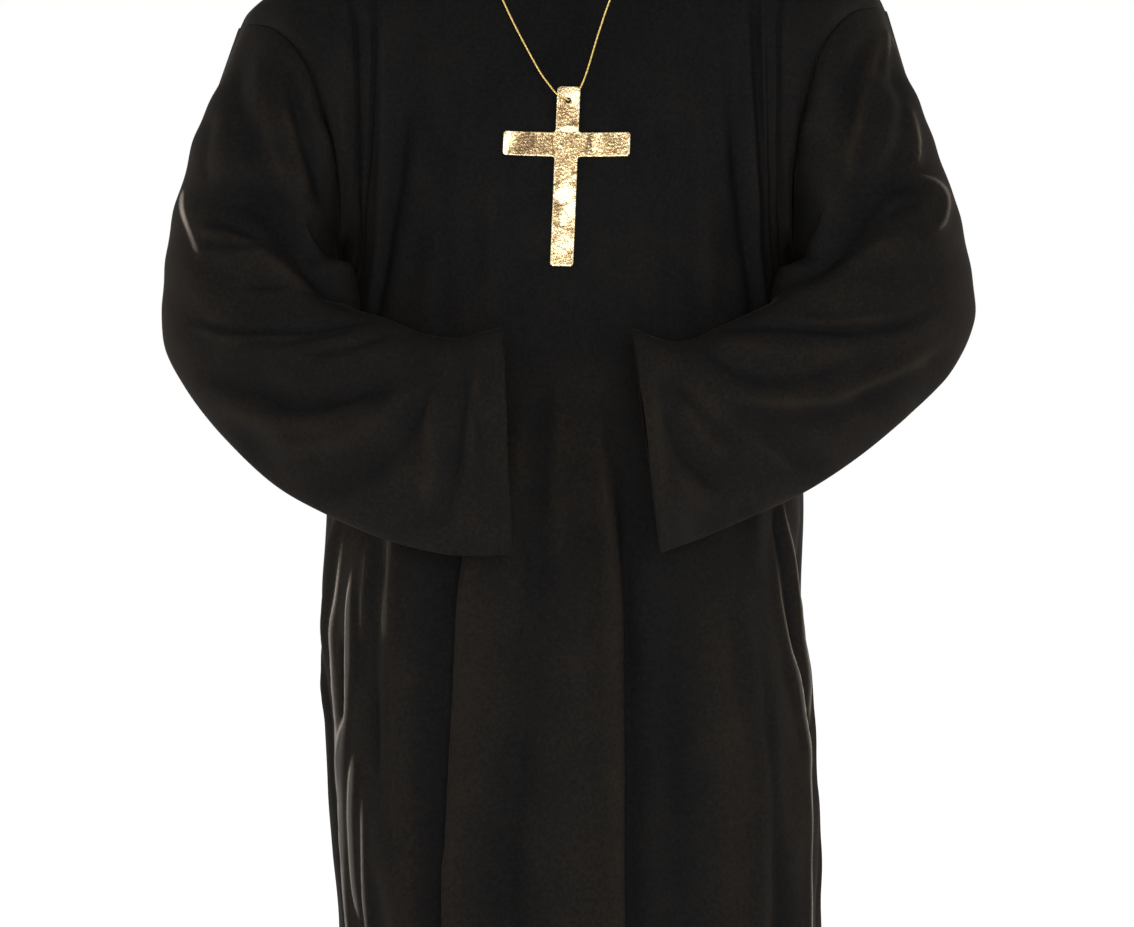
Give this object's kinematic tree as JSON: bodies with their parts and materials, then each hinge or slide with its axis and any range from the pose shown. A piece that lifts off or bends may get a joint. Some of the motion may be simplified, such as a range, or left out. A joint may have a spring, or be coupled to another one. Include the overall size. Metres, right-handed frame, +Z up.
{
  "type": "priest costume",
  "caption": "Ankle-length black velour robe with wide bell sleeves drawn together in front, and a gold cross on a thin neck cord.",
  "frame": {"origin": "Middle of the neck opening, at the height where the two shoulder seams end.", "axes": "+Z up, -Y to the front, +X to the right of someone who looks at the front."},
  "size_m": [0.7612, 0.4585, 1.4011],
  "materials": {
    "velour": "matt",
    "gold_cloth": "satin",
    "gold_cord": "satin"
  },
  "bodies": {
    "root": {"robe_front": "velour", "robe_back": "velour", "sleeve_left": "velour", "sleeve_right": "velour", "cross": "gold_cloth", "neck_cord": "gold_cord"}
  },
  "joints": []
}
